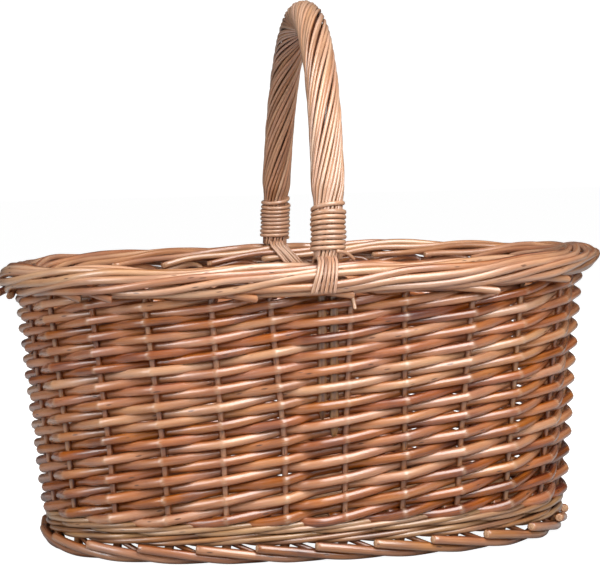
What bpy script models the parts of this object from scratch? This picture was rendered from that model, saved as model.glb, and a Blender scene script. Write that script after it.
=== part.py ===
"""Oval willow market basket with a fixed roped handle, built rod by rod as a basket maker builds it.

Row frame in metres: +Z up, +X along the basket, -Y its front, origin on the floor under its centre.
A place in the wall is (u, r, z): u counts stakes round the basket, anticlockwise from above, r is the
distance outward from the line of the stakes, and z is the height.
"""

import math

import bmesh
import bpy
import numpy as np
from mathutils import Matrix, Vector

# Driving dimensions of the wall
STAKES = 26
OUTLINE_POWER = 2.45
WALL_LOW_Z, WALL_HIGH_Z = 0.034, 0.205
LOW_HALF_LENGTH, LOW_HALF_WIDTH = 0.2003, 0.138
HIGH_HALF_LENGTH, HIGH_HALF_WIDTH = 0.2164, 0.162
HANDLE_STAKE_X = 0.0126  # the stake at u = 0 stands this far to the right of the handle
HALF_ROUND = STAKES // 2  # stakes from the front handle leg to the rear one
GAP = 0.0003

# Rods
ROD_SIDES = 5
FOOT_RADIUS, STAKE_RADIUS, TIP_RADIUS = 0.0028, 0.0025, 0.0023
FOOT_Z = FOOT_RADIUS * math.cos(math.pi / ROD_SIDES)  # a flat side of the rod lies on the floor
FOOT_LIFT = 0.00015  # the rod rises this much just past each end of that flat

# (stakes to the right of the upright, r, z) along each stake rod: the cut butt, then the foot border
FOOT_KNOTS = (
    (-2.5, 0.0090, 0.0094),
    (-2.0, 0.0080, 0.0070),
    (-1.5, 0.0052, 0.0041),
    (-1.1, 0.0042, FOOT_Z + FOOT_LIFT),
    (-1.0, 0.0038, FOOT_Z),
    (-0.5, -0.0020, FOOT_Z),
    (-0.4, -0.0022, FOOT_Z + FOOT_LIFT),
    (-0.22, -0.0024, 0.0036),
    (-0.06, -0.0012, 0.0075),
    (0.0, 0.0, 0.0115),
)
# the same along the top border: behind one stake, out to the front, up and over, and down inside
BORDER_KNOTS = (
    (0.0, 0.0, 0.1985),
    (0.05, -0.0003, 0.2040),
    (0.2, -0.0013, 0.2072),
    (0.5, -0.0040, 0.2068),
    (1.0, -0.0064, 0.2014),
    (1.5, 0.0018, 0.2005),
    (2.0, 0.0072, 0.2014),
    (2.5, 0.0110, 0.2024),
    (3.0, 0.0139, 0.2036),
    (3.5, 0.0158, 0.2058),
    (4.0, 0.0166, 0.2085),
    (4.5, 0.0162, 0.2112),
    (5.0, 0.0148, 0.2137),
    (5.5, 0.0124, 0.2156),
    (6.0, 0.0092, 0.2169),
    (6.5, 0.0054, 0.2178),
    (7.0, 0.0018, 0.2182),
    (7.5, -0.0015, 0.2180),
    (8.0, -0.0046, 0.2171),
    (8.5, -0.0073, 0.2155),
    (9.0, -0.0095, 0.2133),
    (9.5, -0.0109, 0.2106),
    (10.0, -0.0115, 0.2078),
)
HANDLE_PART = 0.0046  # how far the border rods part round the handle's ends
PART_FADE = 0.037  # per metre of r: rods far from the middle of the border part less

# Siding: one rod per stake, each going once round and rising one rod for each stake it passes
SIDING_START_Z, SIDING_RISE = 0.0329, 0.1620
SIDING_STEPS = STAKES - 1
SIDING_SLOWING = 0.16  # the rods taper, so the first rounds rise faster than the last
SIDING_OVERHANG = 0.15
SIDING_WEAVE = 0.00635  # distance of a rod's middle from the stakes' line where it passes one
SIDING_WIDTH_START, SIDING_WIDTH_END = 0.0056, 0.0048
SIDING_CLEARANCE = 0.0007  # between one rod and the next above it
LINER_SHARE = 0.46  # the handle's ends widen their stake by this share of a gap between stakes

# Bottom wale and base
WALE_Z, WALE_HEIGHT = 0.0126, 0.0164
WALE_OUT, WALE_IN, WALE_HOLE = 0.0085, -0.0075, 0.0036
BASE_EDGE_R, BASE_Z, BASE_THICKNESS = -0.0084, 0.0165, 0.0060
BASE_STICK_RADIUS, BASE_STICK_Z = 0.0030, 0.0159
CROSS_STICKS, CROSS_STICK_PITCH = 9, 0.040
LONG_STICKS, LONG_STICK_PITCH, LONG_STICK_END = 3, 0.013, 0.180

# Handle
SPRING_Z, HANDLE_RISE, HANDLE_LEAN = 0.220, 0.188, 0.007
CORE_RADIUS, CORE_END_Z = 0.0072, 0.2238
LINER_X, LINER_RADIUS, LINER_TIP_RADIUS = 0.0043, 0.0031, 0.0020
LINER_TIP_Z, LINER_ROOT_Z = 0.095, 0.2253
WRAP_END_Z, WRAP_BORE, WRAP_RADIUS, WRAP_GROOVE = 0.2268, 0.0078, 0.0118, 0.0008
WRAP_WAIST_RADIUS, WRAP_WAIST_Z, WRAP_SHOULDER_Z = 0.0092, 0.2645, 0.2745
WRAP_LOBES, WRAP_TURNS, WRAP_STEPS, WRAP_FOOT_STEPS = 6, 2.0, 26, 3
BINDING_LOW_Z, BINDING_HIGH_Z, BINDING_TURNS = 0.2273, 0.2625, 8
BINDING_BORE, BINDING_RADIUS, BINDING_GROOVE = 0.0102, 0.0129, 0.0009

# Lashing that ties the handle down over the border: (r, z) of its underside, from outside to inside
LASHING_KNOTS = (
    (0.0200, 0.1985),
    (0.0214, 0.2050),
    (0.0216, 0.2108),
    (0.0198, 0.2162),
    (0.0152, 0.2202),
    (0.0080, 0.2216),
    (-0.0064, 0.2216),
    (-0.0118, 0.2202),
    (-0.0162, 0.2158),
    (-0.0184, 0.2100),
    (-0.0178, 0.2026),
)
LASHING_THICKNESS, LASHING_SLANT = 0.0018, 0.45
LASHING_TOP_WIDTH, LASHING_END_WIDTH = 0.0205, 0.0150

WILLOW = {
    "stake": ((0.46, 0.25, 0.12), 0.55),
    "siding": ((0.44, 0.21, 0.09), 0.45),
    "wale": ((0.42, 0.24, 0.11), 0.55),
    "base": ((0.40, 0.21, 0.10), 0.60),
    "handle_core": ((0.45, 0.25, 0.12), 0.55),
    "handle_wrap": ((0.55, 0.32, 0.17), 0.45),
    "binding": ((0.60, 0.38, 0.20), 0.45),
    "lashing": ((0.66, 0.47, 0.30), 0.45),
}


def share_between(low, high, share):
    return low + share * (high - low)


def wall_half_axes(z):
    """Half length and half width of the stakes' line at height z."""
    share = (z - WALL_LOW_Z) / (WALL_HIGH_Z - WALL_LOW_Z)
    return (
        share_between(LOW_HALF_LENGTH, HIGH_HALF_LENGTH, share),
        share_between(LOW_HALF_WIDTH, HIGH_HALF_WIDTH, share),
    )


def outline_table(samples=6000):
    """Unit outline points and their arc length at middle height, from the front middle anticlockwise."""
    half_length, half_width = wall_half_axes((WALL_LOW_Z + WALL_HIGH_Z) / 2)
    angle = np.linspace(-math.pi / 2, 1.5 * math.pi, samples)
    x, y = np.cos(angle), np.sin(angle)
    reach = (np.abs(x / half_length) ** OUTLINE_POWER + np.abs(y / half_width) ** OUTLINE_POWER) ** (
        -1 / OUTLINE_POWER
    )
    x, y = x * reach, y * reach
    arc = np.concatenate([[0.0], np.cumsum(np.hypot(np.diff(x), np.diff(y)))])
    return x / half_length, y / half_width, arc


UNIT_X, UNIT_Y, ARC = outline_table()
STAKE_PITCH = float(ARC[-1]) / STAKES


def wall_place(u, r, z):
    """(point, outward direction) of the place (u, r, z) in the wall."""
    along = (HANDLE_STAKE_X + u * STAKE_PITCH) % float(ARC[-1])
    x, y = float(np.interp(along, ARC, UNIT_X)), float(np.interp(along, ARC, UNIT_Y))
    half_length, half_width = wall_half_axes(z)
    steep = OUTLINE_POWER - 1
    outward = Vector(
        (
            math.copysign(abs(x) ** steep, x) / half_length,
            math.copysign(abs(y) ** steep, y) / half_width,
            0.0,
        )
    ).normalized()
    return Vector((half_length * x, half_width * y, z)) + r * outward, outward


def new_object(name, mesh_maker, material):
    """A linked object whose mesh is what mesh_maker puts into an empty bmesh."""
    shape = bmesh.new()
    mesh_maker(shape)
    bmesh.ops.recalc_face_normals(shape, faces=shape.faces)
    mesh = bpy.data.meshes.new(name)
    shape.to_mesh(mesh)
    shape.free()
    made = bpy.data.objects.new(name, mesh)
    bpy.context.scene.collection.objects.link(made)
    if material is not None:
        mesh.materials.append(material)
    return made


def helper(made):
    """Marks an object that only cuts or joins another."""
    made.hide_render = True
    made.display_type = "WIRE"
    return made


def boolean(target, other, operation):
    modifier = target.modifiers.new(operation.lower(), "BOOLEAN")
    modifier.operation = operation
    modifier.object = helper(other)


def willow_material(name):
    colour, roughness = WILLOW[name]
    material = bpy.data.materials.new(name + "_willow")
    material.use_nodes = True
    surface = material.node_tree.nodes["Principled BSDF"]
    surface.inputs["Base Color"].default_value = (*colour, 1.0)
    surface.inputs["Roughness"].default_value = roughness
    surface.inputs["Metallic"].default_value = 0.0
    return material


def directions(points):
    """Unit direction of travel at each point of a path, halfway between its two pieces."""
    steps = [(b - a).normalized() for a, b in zip(points, points[1:])]
    return [steps[0], *[(a + b).normalized() for a, b in zip(steps, steps[1:])], steps[-1]]


def side_axes(along, outward):
    """Two unit directions square to the path: the outward one, and the one to its side."""
    first = (outward - outward.dot(along) * along).normalized()
    return first, along.cross(first)


def add_skin(shape, rings):
    """Faces between rings of vertices, in order."""
    for low, high in zip(rings, rings[1:]):
        for i in range(len(low)):
            j = (i + 1) % len(low)
            shape.faces.new((low[i], low[j], high[j], high[i]))


def add_tube(shape, points, outwards, sections):
    """A closed solid along points. Each section lists (distance outward, distance to the side)."""
    rings = []
    for point, along, outward, section in zip(points, directions(points), outwards, sections):
        first, second = side_axes(along, outward)
        rings.append([shape.verts.new(point + a * first + b * second) for a, b in section])
    add_skin(shape, rings)
    shape.faces.new(reversed(rings[0]))
    shape.faces.new(rings[-1])


def round_section(radius, sides=ROD_SIDES):
    """A regular polygon with a flat side facing to the path's side, which is down on a level rod."""
    turns = [2 * math.pi * (i + 0.5) / sides + math.pi / 2 for i in range(sides)]
    return [(radius * math.cos(t), radius * math.sin(t)) for t in turns]


def box_section(width, height):
    return [(width / 2 * a, height / 2 * b) for a, b in ((1, -1), (1, 1), (-1, 1), (-1, -1))]


def handle_parting(u, r):
    """How far a border rod at (u, r) is pushed aside by the handle's ends, away from the stakes' line."""
    beside = min(abs((u + 0.25 - leg) % STAKES) for leg in (0, HALF_ROUND))
    beside = min(beside, *[STAKES - (u + 0.25 - leg) % STAKES for leg in (0, HALF_ROUND)])
    strength = max(0.0, min(1.0, (1.25 - beside) / 1.0))
    return math.copysign(HANDLE_PART * strength * (1 - PART_FADE * abs(r) / 0.001), r)


def stake_path(stake):
    """(u, r, z, radius) along one stake rod, from its cut butt in the foot border to its tip inside."""
    path = []
    for step, r, z in FOOT_KNOTS:
        path.append((stake + step, r, z, FOOT_RADIUS))
    path.append((stake, 0.0, WALE_Z + WALE_HEIGHT + GAP, STAKE_RADIUS))
    last = BORDER_KNOTS[-1][0]
    for step, r, z in BORDER_KNOTS:
        u = stake + step
        if step >= 0.5:
            r += handle_parting(u, r)
        path.append((u, r, z, share_between(STAKE_RADIUS, TIP_RADIUS, step / last)))
    return path


def make_stake(stake, material):
    def fill(shape):
        path = stake_path(stake)
        places = [wall_place(u, r, z) for u, r, z, _ in path]
        sections = [round_section(radius) for *_, radius in path]
        add_tube(shape, [p for p, _ in places], [o for _, o in places], sections)

    return new_object(f"stake_rod_{stake + 1:02d}", fill, material)


def siding_height(step):
    """Height of a siding rod's middle when it has passed this many stakes."""
    share = step / SIDING_STEPS
    return SIDING_START_Z + SIDING_RISE * share * (1 + SIDING_SLOWING * (1 - share))


def siding_path(start):
    """(u, r, z, step) along the siding rod that starts in front of this stake."""
    path = []
    for step in range(SIDING_STEPS + 1):
        side = 1 if step % 2 == 0 else -1
        u, z = start + step, siding_height(step)
        if step and u % HALF_ROUND == 0:  # it goes round the handle's end and its stake together
            before = step - LINER_SHARE
            path.append((start + before, side * SIDING_WEAVE, siding_height(before), before))
        path.append((u, side * SIDING_WEAVE, z, step))
    low, high = siding_height(0), siding_height(SIDING_STEPS)
    reach = SIDING_WEAVE * (1 - 2 * SIDING_OVERHANG)
    path.insert(0, (start - SIDING_OVERHANG, reach, low, 0))
    path.append((start + SIDING_STEPS + SIDING_OVERHANG, -reach, high, SIDING_STEPS))
    return path


def siding_section(step):
    """Width and height of a siding rod, which fills the rise from one rod to the next."""
    share = step / SIDING_STEPS
    rise = SIDING_RISE / SIDING_STEPS * (1 + SIDING_SLOWING * (1 - 2 * share))
    width = share_between(SIDING_WIDTH_START, SIDING_WIDTH_END, share)
    return box_section(width, rise - SIDING_CLEARANCE)


def make_siding_rod(start, material):
    def fill(shape):
        path = siding_path(start)
        places = [wall_place(u, r, z) for u, r, z, _ in path]
        sections = [siding_section(step) for *_, step in path]
        add_tube(shape, [p for p, _ in places], [o for _, o in places], sections)

    return new_object(f"siding_rod_{start + 1:02d}", fill, material)


def add_prism(shape, points, outwards, section):
    add_tube(shape, points, outwards, [section] * len(points))


def make_bottom_wale(material):
    """The band of waled rods that the stakes come up through, as one ring with a hole for each."""

    def fill_ring(shape):
        rings = []
        for half in range(2 * STAKES):
            corners = []
            for r, z in (
                (WALE_OUT, WALE_Z),
                (WALE_OUT, WALE_Z + WALE_HEIGHT),
                (WALE_IN, WALE_Z + WALE_HEIGHT),
                (WALE_IN, WALE_Z),
            ):
                corners.append(shape.verts.new(wall_place(half / 2, r, z)[0]))
            rings.append(corners)
        add_skin(shape, [*rings, rings[0]])

    def fill_holes(shape):
        for stake in range(STAKES):
            places = [wall_place(stake, 0.0, z) for z in (FOOT_Z, WALL_LOW_Z + WALE_HEIGHT)]
            add_prism(shape, [p for p, _ in places], [o for _, o in places], round_section(WALE_HOLE, 6))

    wale = new_object("bottom_wale", fill_ring, material)
    boolean(wale, new_object("wale_holes", fill_holes, None), "DIFFERENCE")
    return wale


def base_reach(distance, across):
    """Half the length of a base stick that lies this far from the middle line."""
    half_length, half_width = wall_half_axes(BASE_Z)
    own, other = (half_length, half_width) if across else (half_width, half_length)
    inside = 1 - abs(distance / (own + BASE_EDGE_R)) ** OUTLINE_POWER
    return (other + BASE_EDGE_R) * inside ** (1 / OUTLINE_POWER) - FOOT_RADIUS


def make_base(material):
    """The woven floor as a plate, with the base sticks that it is woven on showing underneath."""

    def fill_plate(shape):
        edge = []
        for half in range(2 * STAKES):
            point, _ = wall_place(half / 2, BASE_EDGE_R, BASE_Z)
            edge.append(shape.verts.new(point))
        shape.faces.new(edge)
        made = bmesh.ops.extrude_face_region(shape, geom=shape.faces[:])
        raised = [v for v in made["geom"] if isinstance(v, bmesh.types.BMVert)]
        bmesh.ops.translate(shape, verts=raised, vec=(0, 0, BASE_THICKNESS))

    def fill_cross_sticks(shape):
        for i in range(CROSS_STICKS):
            x = (i - (CROSS_STICKS - 1) / 2) * CROSS_STICK_PITCH
            reach = base_reach(x, across=True)
            ends = [Vector((x, side * reach, BASE_STICK_Z)) for side in (-1, 1)]
            add_prism(shape, ends, [Vector((1, 0, 0))] * 2, round_section(BASE_STICK_RADIUS, 6))

    def fill_long_sticks(shape):
        for i in range(LONG_STICKS):
            y = (i - (LONG_STICKS - 1) / 2) * LONG_STICK_PITCH
            ends = [Vector((side * LONG_STICK_END, y, BASE_STICK_Z - GAP)) for side in (-1, 1)]
            add_prism(shape, ends, [Vector((0, 1, 0))] * 2, round_section(BASE_STICK_RADIUS, 6))

    base = new_object("base_mat", fill_plate, material)
    boolean(base, new_object("cross_sticks", fill_cross_sticks, None), "UNION")
    boolean(base, new_object("long_sticks", fill_long_sticks, None), "UNION")
    return base


HANDLE_HALF = wall_half_axes(SPRING_Z)[1]


def handle_place(turn):
    """(point, sideways direction) on the handle's middle line, turn running from 0 in front to pi behind."""
    rise = math.sin(turn)
    point = Vector((HANDLE_LEAN * rise, -HANDLE_HALF * math.cos(turn), SPRING_Z + HANDLE_RISE * rise))
    return point, Vector((1, 0, 0))


def handle_turn(z):
    """The turn at which the front leg reaches height z."""
    return math.asin((z - SPRING_Z) / HANDLE_RISE)


def turns_between(first, last, steps):
    return [share_between(first, last, i / steps) for i in range(steps + 1)]


def wrapped_turns():
    """The turns at which the bow and its wrapping have a section, so that both bend alike."""
    end, waist, shoulder = [handle_turn(z) for z in (WRAP_END_Z, WRAP_WAIST_Z, WRAP_SHOULDER_Z)]
    foot = turns_between(end, waist, WRAP_FOOT_STEPS)
    arch = turns_between(shoulder, math.pi - shoulder, WRAP_STEPS)
    return [*foot, *arch, *[math.pi - turn for turn in reversed(foot)]]


def add_sleeve(shape, places, outer_sections, inner_sections):
    """A closed tube with a bore, along places. Both lists hold one section for each place."""
    points = [p for p, _ in places]
    skins = []
    for sections in (outer_sections, inner_sections):
        rings = []
        for (point, outward), along, section in zip(places, directions(points), sections):
            first, second = side_axes(along, outward)
            rings.append([shape.verts.new(point + a * first + b * second) for a, b in section])
        skins.append(rings)
        add_skin(shape, rings)
    for end in (0, -1):
        add_skin(shape, [skins[0][end], skins[1][end]])


def make_handle_bow(material):
    """The hoop inside the handle, with two liner rods at each end that go down beside a stake."""
    first = handle_turn(CORE_END_Z)

    def fill_core(shape):
        places = [handle_place(turn) for turn in (first, *wrapped_turns(), math.pi - first)]
        sections = [round_section(CORE_RADIUS, 8)] * len(places)
        add_tube(shape, [p for p, _ in places], [o for _, o in places], sections)

    def fill_liners(shape):
        for side in (-1, 1):
            for x in (-LINER_X, LINER_X):
                heights = (LINER_TIP_Z, LINER_TIP_Z + 0.012, SPRING_Z, LINER_ROOT_Z)
                points = [Vector((x, side * wall_half_axes(min(z, SPRING_Z))[1], z)) for z in heights]
                radii = (LINER_TIP_RADIUS, LINER_RADIUS, LINER_RADIUS, LINER_RADIUS)
                sections = [round_section(radius, 6) for radius in radii]
                add_tube(shape, points, [Vector((1, 0, 0))] * len(points), sections)

    bow = new_object("handle_bow", fill_core, material)
    boolean(bow, new_object("liners", fill_liners, None), "UNION")
    return bow


def wrap_radius(z):
    """Radius over the handle's wrapping: drawn in under the bindings, full above them."""
    share = (z - WRAP_WAIST_Z) / (WRAP_SHOULDER_Z - WRAP_WAIST_Z)
    return share_between(WRAP_WAIST_RADIUS, WRAP_RADIUS, max(0.0, min(1.0, share)))


def make_handle_wrap(material):
    """The rods wound round the bow, as one skin whose ridges run in a long twist."""
    turns = wrapped_turns()
    places = [handle_place(turn) for turn in turns]

    def section(turn, radius, groove):
        twist = 2 * math.pi * WRAP_TURNS * turn / math.pi
        points = []
        for i in range(2 * WRAP_LOBES):
            reach = radius - (groove if i % 2 else 0.0)
            angle = twist + math.pi * i / WRAP_LOBES
            points.append((reach * math.cos(angle), reach * math.sin(angle)))
        return points

    def fill(shape):
        outer = [section(t, wrap_radius(p.z), WRAP_GROOVE) for t, (p, _) in zip(turns, places)]
        bore = section(0.0, WRAP_BORE, 0.0)
        add_sleeve(shape, places, outer, [bore] * len(places))

    return new_object("handle_wrap", fill, material)


def make_binding(name, at_rear, material):
    """The turns of rod that bind one foot of the handle, as one ribbed sleeve."""
    ends = [handle_turn(BINDING_LOW_Z), handle_turn(BINDING_HIGH_Z)]
    if at_rear:
        ends = [math.pi - turn for turn in ends]
    steps = 2 * BINDING_TURNS
    places = [handle_place(turn) for turn in turns_between(*ends, steps)]

    def fill(shape):
        radii = [BINDING_RADIUS - (0.0 if i % 2 else BINDING_GROOVE) for i in range(steps + 1)]
        outer = [round_section(radius, 8) for radius in radii]
        add_sleeve(shape, places, outer, [round_section(BINDING_BORE, 8)] * len(places))

    return new_object(name, fill, material)


def make_lashing(name, material):
    """The strap of fine rods that ties the handle down over the border, on the front side."""
    half_width = wall_half_axes(SPRING_Z)[1]
    upright = Vector((1, 0, 0))

    def path():
        points = []
        for r, z in LASHING_KNOTS:
            slant = -LASHING_SLANT * max(0.0, LASHING_KNOTS[4][1] - z)
            points.append(Vector((slant, -half_width - r, z)))
        return points

    def fill_strap(shape):
        points = path()
        sections = []
        for r, z in LASHING_KNOTS:
            share = min(1.0, max(0.0, (SPRING_Z - z) / 0.016))
            half = share_between(LASHING_TOP_WIDTH, LASHING_END_WIDTH, share) / 2
            outer = -LASHING_THICKNESS
            sections.append([(half, 0.0), (half, outer), (-half, outer), (-half, 0.0)])
        add_tube(shape, points, [upright] * len(points), sections)

    def fill_holes(shape):
        for x in (-LINER_X, LINER_X):
            points = [Vector((x, -half_width, z)) for z in (SPRING_Z, CORE_END_Z + 0.004)]
            add_prism(shape, points, [upright] * 2, round_section(LINER_RADIUS + 2 * GAP, 8))

    strap = new_object(name, fill_strap, material)
    boolean(strap, new_object(name + "_holes", fill_holes, None), "DIFFERENCE")
    return strap


def turned_copy(original, name):
    """A second object half a turn round the basket from the first, sharing its mesh and its cutters."""
    copy = original.copy()
    copy.name = name
    bpy.context.scene.collection.objects.link(copy)
    half_turn = Matrix.Rotation(math.pi, 4, "Z")
    copy.matrix_world = half_turn
    for modifier in copy.modifiers:
        cutter = modifier.object.copy()
        bpy.context.scene.collection.objects.link(cutter)
        cutter.matrix_world = half_turn
        modifier.object = cutter
    return copy


def main():
    for existing in list(bpy.data.objects):
        bpy.data.objects.remove(existing)
    materials = {name: willow_material(name) for name in WILLOW}
    for stake in range(STAKES):
        make_stake(stake, materials["stake"])
    for start in range(STAKES):
        make_siding_rod(start, materials["siding"])
    make_bottom_wale(materials["wale"])
    make_base(materials["base"])
    make_handle_bow(materials["handle_core"])
    make_handle_wrap(materials["handle_wrap"])
    make_binding("binding_front", False, materials["binding"])
    make_binding("binding_rear", True, materials["binding"])
    lashing = make_lashing("lashing_front", materials["lashing"])
    turned_copy(lashing, "lashing_rear")


main()
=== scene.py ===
"""Looks of the oval willow market basket, rod by rod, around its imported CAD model.

A place in the wall is (u, r, z), as in the CAD source: u counts stakes round the basket, anticlockwise
from above, r is the distance outward from the line of the stakes, and z is the height. Metres throughout.
"""

import math
import random

import bpy
import numpy as np
from mathutils import Matrix, Vector


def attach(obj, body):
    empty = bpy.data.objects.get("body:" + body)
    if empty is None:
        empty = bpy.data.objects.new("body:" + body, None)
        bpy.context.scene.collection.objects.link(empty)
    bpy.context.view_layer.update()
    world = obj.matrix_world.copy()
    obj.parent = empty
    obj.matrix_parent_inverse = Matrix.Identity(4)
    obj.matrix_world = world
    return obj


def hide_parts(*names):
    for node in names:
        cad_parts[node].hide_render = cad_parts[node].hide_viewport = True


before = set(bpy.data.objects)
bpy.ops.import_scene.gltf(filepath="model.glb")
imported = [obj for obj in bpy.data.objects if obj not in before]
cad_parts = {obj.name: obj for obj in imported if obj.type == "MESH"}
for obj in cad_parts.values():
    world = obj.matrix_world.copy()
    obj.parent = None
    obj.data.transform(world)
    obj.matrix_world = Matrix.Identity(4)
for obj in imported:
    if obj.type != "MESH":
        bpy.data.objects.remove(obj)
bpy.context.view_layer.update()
chance = random.Random(26)

# The wall, as in the CAD source
STAKES = 26
OUTLINE_POWER = 2.45
WALL_LOW_Z, WALL_HIGH_Z = 0.034, 0.205
LOW_HALF_LENGTH, LOW_HALF_WIDTH = 0.2003, 0.138
HIGH_HALF_LENGTH, HIGH_HALF_WIDTH = 0.2164, 0.162
HANDLE_STAKE_X = 0.0126  # the stake at u = 0 stands this far to the right of the handle
HALF_ROUND = STAKES // 2
RIGHT_END_U, LEFT_END_U = 6.26, 19.26

# How far the weaver's wall strays from that: stakes that lean sideways at the top, and slow waves
LEAN_START_Z, LEAN_RISE, LEAN_SPREAD = 0.090, 0.105, 0.05
SEEN_LEANS = {0: 0.08, 1: -0.08, 2: 0.08, 3: 0.0, 21: -0.08, 22: -0.10, 23: -0.13, 24: -0.08, 25: -0.18}
LEANS = [SEEN_LEANS.get(stake, chance.gauss(0.0, LEAN_SPREAD)) for stake in range(STAKES)]
OUTWARD_WAVES = ((3, 0.0008, 1.1), (5, 0.0007, 4.0), (8, 0.0004, 0.3))
HEIGHT_WAVES = ((1, 0.0012, -1.09), (2, 0.0007, 2.5), (5, 0.0006, 0.9), (9, 0.0004, 3.3))
HEIGHT_WAVES_START_Z, HEIGHT_WAVES_RISE = 0.040, 0.120
# The rim rides up near the right end, and its lower rods most
RIDE_UP_U, RIDE_UP_REACH, RIDE_UP_START_Z, RIDE_UP_RISE = 4.8, 3.6, 0.110, 0.090
RIDE_UP_TOP, RIDE_UP_EXTRA, RIDE_UP_CROWN_Z, RIDE_UP_CROWN_DEPTH = 0.0028, 0.0050, 0.222, 0.020

# Stake rods
BUTT_RADIUS, STAKE_RADIUS, BORDER_RADIUS, TIP_RADIUS = 0.0034, 0.0023, 0.0031, 0.0025
FOOT_Z = 0.0031
PEG_START, PEG_END, PEG_RADIUS = (0.03, 0.0000, 0.0160), (0.52, 0.0028, 0.0068), 0.0020
FOOT_KNOTS = (
    (-2.5, 0.0092, 0.0124),
    (-2.0, 0.0084, 0.0096),
    (-1.5, 0.0062, 0.0062),
    (-1.1, 0.0045, 0.0038),
    (-0.9, 0.0030, FOOT_Z),
    (-0.5, -0.0020, FOOT_Z),
    (-0.22, -0.0024, 0.0036),
    (-0.06, -0.0012, 0.0075),
    (0.0, 0.0, 0.0115),
)
BORDER_KNOTS = (
    (0.0, 0.0, 0.1985),
    (0.05, -0.0003, 0.2040),
    (0.2, -0.0013, 0.2072),
    (0.5, -0.0040, 0.2068),
    (1.0, -0.0064, 0.2009),
    (1.5, 0.0018, 0.1999),
    (2.0, 0.0072, 0.2007),
    (2.5, 0.0110, 0.2019),
    (3.0, 0.0139, 0.2036),
    (3.5, 0.0158, 0.2058),
    (4.0, 0.0166, 0.2085),
    (4.5, 0.0162, 0.2112),
    (5.0, 0.0148, 0.2137),
    (5.5, 0.0124, 0.2156),
    (6.0, 0.0092, 0.2169),
    (6.5, 0.0054, 0.2178),
    (7.0, 0.0018, 0.2182),
    (7.5, -0.0015, 0.2180),
    (8.0, -0.0046, 0.2171),
    (8.5, -0.0073, 0.2155),
    (9.0, -0.0095, 0.2133),
    (9.5, -0.0109, 0.2106),
    (10.0, -0.0115, 0.2078),
)
HANDLE_PART, PART_FADE, PART_REACH, PART_MIDDLE_U = 0.0046, 37.0, 1.25, -0.25
BORDER_FROM_STEP = 0.3  # a stake rod is part of the border past this many stakes from its own
BORDER_SETTLED_STEP = 1.5
BORDER_WANDER, BORDER_THICKNESS_SPREAD = 0.0013, 0.09
WANDER_START_LIMIT, WANDER_PACE = 6.28, (1.6, 2.6)
LOOSE_STAKES = {1: 0.0028, 2: 0.0065, 3: 0.0045, 16: 0.0030}  # rods that bow outward at the basket's ends
LOOSE_REACH = 1.5
# The stake rods are painted paler along the border, as painted light falling on the rim from above
STAKE_TONES, FOOT_DARKER, FOOT_DARKER_Z, BORDER_PAINTED_TOP_LIGHT = (0.30, 0.65), 0.10, 0.02, 0.22
STAKE_SAMPLING, STAKE_SMOOTHING, STAKE_KEEP_EVERY = 0.001, 5.0, 4
STAKE_SLANTS = (0.25, 0.9)
PEG_SAMPLES, PEG_TONES, PEG_SLANTS = 14, (0.7, 1.0), (0.0, 0.8)

# Trimmed rod ends that show under the border: (u where it ends, how far out, height)
BORDER_ENDS = (
    (24.75, 0.0155, 0.1975),
    (22.60, 0.0160, 0.1980),
    (22.05, 0.0150, 0.1975),
    (20.10, 0.0150, 0.1980),
    (19.35, 0.0210, 0.1975),
    (25.95, 0.0155, 0.1980),
    (2.20, 0.0160, 0.1960),
    (3.60, 0.0150, 0.1975),
    (8.40, 0.0150, 0.1975),
    (10.7, 0.0155, 0.1980),
    (12.2, 0.0155, 0.1970),
    (14.6, 0.0150, 0.1975),
    (17.3, 0.0155, 0.1980),
)
BORDER_END_LENGTH, BORDER_END_DROP, BORDER_END_ROOT_R, BORDER_END_THINNER = 0.9, 0.0075, -0.0035, 0.95
BORDER_END_SAMPLES, BORDER_END_TONES, BORDER_END_SLANTS = 26, (0.3, 0.6), (0.0, 1.1)

# A thin pale end that hangs in front of the wall, just right of the handle: u, r and z at its top and tip
HANGING_END = ((-0.03, 0.02), (0.0085, 0.0125), (0.2000, 0.1885))
HANGING_END_RADIUS, HANGING_END_SAMPLES, HANGING_END_TONE, HANGING_END_SLANTS = 0.0014, 8, 0.0, (0.0, 0.8)

# Siding rods
SIDING_START_Z, SIDING_RISE = 0.0329, 0.1646
SIDING_STEPS = STAKES - 1
SIDING_SLOWING = 0.16
SIDING_OVERHANG = 0.15
SIDING_RADIUS, SIDING_TIP_RADIUS = 0.0039, 0.0033
SIDING_SQUASH = 0.0009  # how far a rod and a stake press into each other
LINER_SHARE = 0.46
KINK = 0.985  # 1 is a sharp bend at each stake, 0 a plain wave
KINK_WIDTH, KINK_SWELLING = 0.05, 0.05
SIDING_SAMPLES = (-0.5, -0.37, -0.25, -0.15, -0.08, -0.05, -0.02, 0.0, 0.02, 0.05, 0.08, 0.15, 0.25, 0.37)
SIDING_TUCK_STEP, SIDING_TUCK_DROP = -1.3, 0.0030
SIDING_THICKNESS = (0.96, 1.04)
SIDING_WAVE, SIDING_WAVE_PACE = 0.00035, 2.3
SIDING_TONE, SIDING_TONE_SPREAD, SIDING_TONE_LIMITS, SIDING_BUTT_DARKER = 0.40, 0.18, (0.05, 0.85), 0.14

# Bottom wale: rods that each pass in front of two stakes and behind the third, in level rounds
WALE_LOW_Z, WALE_ROUND, WALE_ROUNDS, WALE_RADIUS = 0.0146, 0.0079, 2, 0.0022
WALE_THREADS, WALE_LENGTHS, WALE_STEP_RISE = 3, 3, 0.0033
WALE_SEAM_U = 14
WALE_SAMPLING, WALE_WAVE, WALE_WAVE_PACE = 0.1, 0.0004, 1.9
WALE_SIDES, WALE_THICKNESS, WALE_TONES, WALE_LOW_DARKER = 8, (0.92, 1.06), (0.05, 0.45), 0.25
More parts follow.
